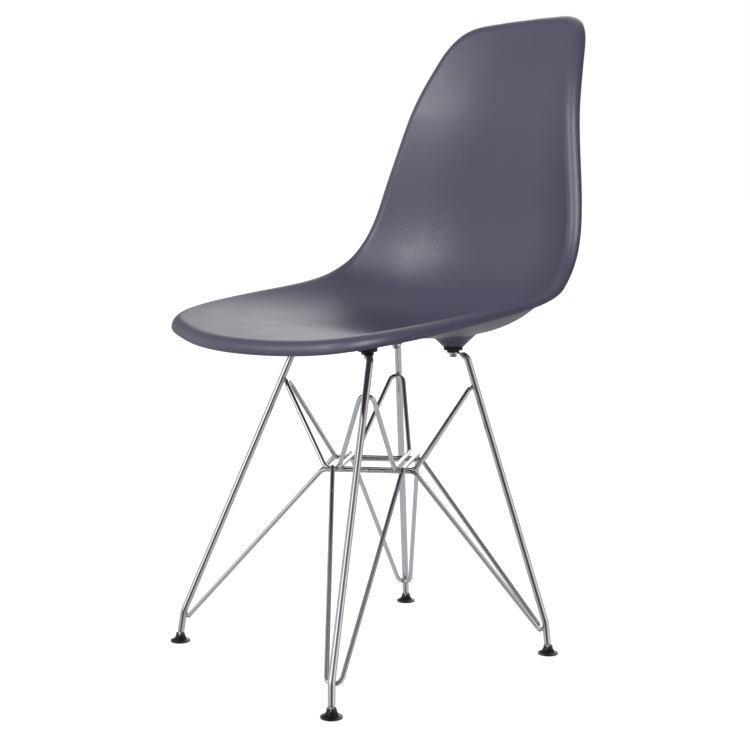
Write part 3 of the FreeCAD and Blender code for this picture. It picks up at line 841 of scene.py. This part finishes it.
foot_plastic, shader, tree, place, add = start_finish(
    "black_foot_plastic", Metallic=0.0, IOR=1.5)
height = add("ShaderNodeSeparateXYZ", {0: place}).outputs["Z"]
low_down = add("ShaderNodeMapRange", {
    "Value": height, "From Min": 0.0, "From Max": scuff_height,
    "To Min": 1.0, "To Max": 0.0}).outputs[0]
scratches = noise(add, place, scratches_per_metre, detail=5.0, roughness=0.7)
scuffs = add("ShaderNodeMath", {
    0: spread(add, scratches, 0, 1), 1: low_down}, operation="MULTIPLY").outputs[0]
colour = two_colours(add, scuffs, *foot_tones)
tree.links.new(colour, shader.inputs["Base Color"])
smooth, rough = foot_roughness
tree.links.new(add("ShaderNodeMapRange", {
    "Value": scuffs, "To Min": smooth, "To Max": rough}).outputs[0], shader.inputs["Roughness"])
texture = noise(add, place, texture_per_metre)
bumps(add, shader, [(texture, texture_depth, texture_strength)])

# %% Finishes on the solids that stay
node_finishes = {
    "mount_bolt_": zinc, "washer_": zinc, "threaded_insert_": brass, "glide_": foot_plastic}
for name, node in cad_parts.items():
    for start, finish in node_finishes.items():
        if name.startswith(start):
            node.data.materials.clear()
            node.data.materials.append(finish)
            print(name, "has", finish.name)

# %% [markdown]
# ## The floor
# The chair stands on a pale painted floor that runs on past every edge of the picture, so there
# is no horizon. It glows a little, which keeps it as light as the air behind it.

# %% Floor
floor_size = 60.0
floor_tones = (0.93, 0.93, 0.93), (0.95, 0.95, 0.95)
floor_glow = 0.72
floor_clouds_per_metre = 2.0

floor_mesh = bpy.data.meshes.new("pale_floor")
corners = np.array([(-1, -1, 0), (1, -1, 0), (1, 1, 0), (-1, 1, 0)]) * floor_size / 2
floor_mesh.from_pydata(corners.tolist(), [], [(0, 1, 2, 3)])
floor = bpy.data.objects.new("pale_floor", floor_mesh)
bpy.context.scene.collection.objects.link(floor)
floor.visible_diffuse = False
floor.visible_glossy = False
floor_finish, shader, tree, place, add = start_finish(
    "pale_floor_paint", Roughness=0.9, Emission_Color=(1, 1, 1, 1), Emission_Strength=floor_glow)
floor_clouds = noise(add, place, floor_clouds_per_metre, detail=3.0)
tree.links.new(two_colours(add, floor_clouds, *floor_tones), shader.inputs["Base Color"])
floor_mesh.materials.append(floor_finish)

# %% [markdown]
# ## The surroundings
# What chrome and satin plastic look like is mostly what stands round them, so the surroundings
# are worked out by direction. Bands by height come first: a cool pale floor, a dim room and a
# dark ceiling. Then round patches with soft edges are laid over them, one for each wall or panel
# that the metal shows. The camera itself sees plain white there.

# %% Bands by height
band_steps = [
    (-1.0, (0.55, 0.57, 0.60)), (-0.30, (0.55, 0.57, 0.60)), (-0.10, (0.42, 0.43, 0.44)),
    (0.12, (0.38, 0.38, 0.38)), (0.40, (0.24, 0.24, 0.24)), (1.0, (0.22, 0.22, 0.22))]

world = bpy.data.worlds.new("studio_surroundings")
bpy.context.scene.world = world
world.use_nodes = True
sky = world.node_tree
sky_node = node_adder(sky)
direction = sky_node("ShaderNodeTexCoord").outputs["Generated"]
height = sky_node("ShaderNodeSeparateXYZ", {0: direction}).outputs["Z"]
level = sky_node("ShaderNodeMapRange", {
    "Value": height, "From Min": -1.0, "From Max": 1.0}).outputs[0]
bands = sky_node("ShaderNodeValToRGB", {"Fac": level})
while len(bands.color_ramp.elements) < len(band_steps):
    bands.color_ramp.elements.new(0.5)
for element, (rise, colour) in zip(bands.color_ramp.elements, band_steps):
    element.position = (rise + 1) / 2
    element.color = (*colour, 1)
print("surroundings with", len(band_steps), "steps of height")

# %% Patches by direction
# Each patch has an azimuth from the front, an elevation, the angle within which it is full, the
# angle beyond which it is gone, all in degrees, and a colour.
room_patches = {
    "cool wall, front right": (-60, 6, 10, 32, (0.72, 0.75, 0.82)),
    "warm dark room in front": (46, -5, 15, 42, (0.075, 0.064, 0.06)),
    "dim ceiling in front": (68, 36, 10, 28, (0.19, 0.165, 0.155)),
    "bright panel in front": (16, 20, 8, 30, (1.45, 1.45, 1.45)),
    "small brighter panel": (-4, 9, 4, 18, (1.7, 1.7, 1.7)),
    "warm floor behind": (-126, -16, 12, 36, (0.64, 0.59, 0.59)),
    "high backdrop behind": (-140, 58, 10, 40, (0.65, 0.65, 0.65)),
    "bright backdrop behind": (-140, 22, 8, 29, (2.15, 2.15, 2.15)),
    "warm light wall, rear left": (124, 0, 6, 30, (1.1, 1.0, 0.94)),
}


def facing(azimuth, elevation):
    """The direction at an azimuth from the front and an elevation, both in degrees: sine and
    cosine of the turn across the floor, times the cosine of the lift, and the sine of the lift
    upwards."""
    turn, lift = math.radians(azimuth), math.radians(elevation)
    level_share = math.cos(lift)
    return Vector((math.sin(turn) * level_share, -math.cos(turn) * level_share, math.sin(lift)))


def with_patch(base, azimuth, elevation, inner, outer, colour):
    """The base colour, changed to another one within an angle of a direction: the cosine of that
    angle is the dot product of the two directions."""
    towards = sky_node("ShaderNodeVectorMath", {0: direction, 1: facing(azimuth, elevation)},
                       operation="DOT_PRODUCT").outputs["Value"]
    share = sky_node("ShaderNodeMapRange", {
        "Value": towards, "From Min": math.cos(math.radians(outer)),
        "From Max": math.cos(math.radians(inner))}, interpolation_type="SMOOTHSTEP").outputs[0]
    mix = sky_node("ShaderNodeMix", data_type="RGBA")
    sky.links.new(share, mix.inputs["Factor"])
    sky.links.new(base, mix.inputs["A"])
    mix.inputs["B"].default_value = (*colour, 1)
    return mix.outputs["Result"]


around = bands.outputs["Color"]
for patch in room_patches.values():
    around = with_patch(around, *patch)
sky.links.new(around, sky.nodes["Background"].inputs["Color"])
seen = sky_node("ShaderNodeBackground", {"Color": (1, 1, 1, 1), "Strength": 1.0})
choice = sky_node("ShaderNodeMixShader", {
    0: sky_node("ShaderNodeLightPath").outputs["Is Camera Ray"],
    1: sky.nodes["Background"].outputs[0], 2: seen.outputs[0]})
sky.links.new(choice.outputs[0], sky.nodes["World Output"].inputs["Surface"])
print("patches:", ", ".join(room_patches))

# %% [markdown]
# ## The lamps
# Two soft rectangular lamps stand in front, one for the patches on the back and one for the thin
# bright line along the near rim. Chrome would mirror such a lamp as a hard broken line, so both
# lamps light the shell alone. In a real studio, black flags between lamp and legs do the same.

# %% Lamps
lamp_aim = Vector((0, 0.1, 0.55))
lamp_distance = 2.4
lamp_lit = bpy.data.collections.new("lit_by_lamps")
lamp_lit.objects.link(seat_shell)


def soft_lamp(name, azimuth, elevation, size, power):
    """A rectangular lamp in a direction from the chair's back, turned to shine at it. Sizes are
    in metres and the power in watts."""
    light = bpy.data.lights.new(name, "AREA")
    light.shape = "RECTANGLE"
    light.size, light.size_y = size
    light.energy = power
    lamp = bpy.data.objects.new(name, light)
    bpy.context.scene.collection.objects.link(lamp)
    outward = facing(azimuth, elevation)
    lamp.location = lamp_aim + outward * lamp_distance
    lamp.rotation_euler = (-outward).to_track_quat("-Z", "Y").to_euler()
    lamp.visible_camera = False
    lamp.light_linking.receiver_collection = lamp_lit
    print(name, "at", [round(place, 3) for place in lamp.location])


soft_lamp("key_lamp", azimuth=-16, elevation=29, size=(0.6, 1.1), power=24)
soft_lamp("rim_lamp", azimuth=44, elevation=34, size=(0.3, 0.85), power=34)

# %% [markdown]
# ## The camera
# The view is from the front, to the sitter's left and a little above the seat. The camera's place
# and length come from the perspective of the four feet and the rods. A small sideways shift keeps
# the chair where the picture has it.

# %% Camera
camera_azimuth, camera_elevation = 53.93, 7.383
camera_distance = 1.88413
look_height = 0.36082
sensor_width, camera_lens = 36.0, 71.074
sideways_shift = 0.01013

backward = facing(camera_azimuth, camera_elevation)
turn = math.radians(camera_azimuth)
sideways = Vector((math.cos(turn), math.sin(turn), 0))
upward = backward.cross(sideways)
camera_data = bpy.data.cameras.new("studio_camera")
camera_data.sensor_width = sensor_width
camera_data.lens = camera_lens
camera_data.shift_x = sideways_shift
camera = bpy.data.objects.new("studio_camera", camera_data)
bpy.context.scene.collection.objects.link(camera)
target = Vector((0, FEET_MIDDLE[1] * MM, look_height))
turned_to = Matrix((sideways, upward, backward)).transposed().to_4x4()
camera.matrix_world = Matrix.Translation(target + backward * camera_distance) @ turned_to
bpy.context.scene.camera = camera
bpy.context.scene.view_settings.view_transform = "Standard"
print("camera at", [round(place, 3) for place in camera.matrix_world.translation])

# %% The end
bpy.context.view_layer.update()
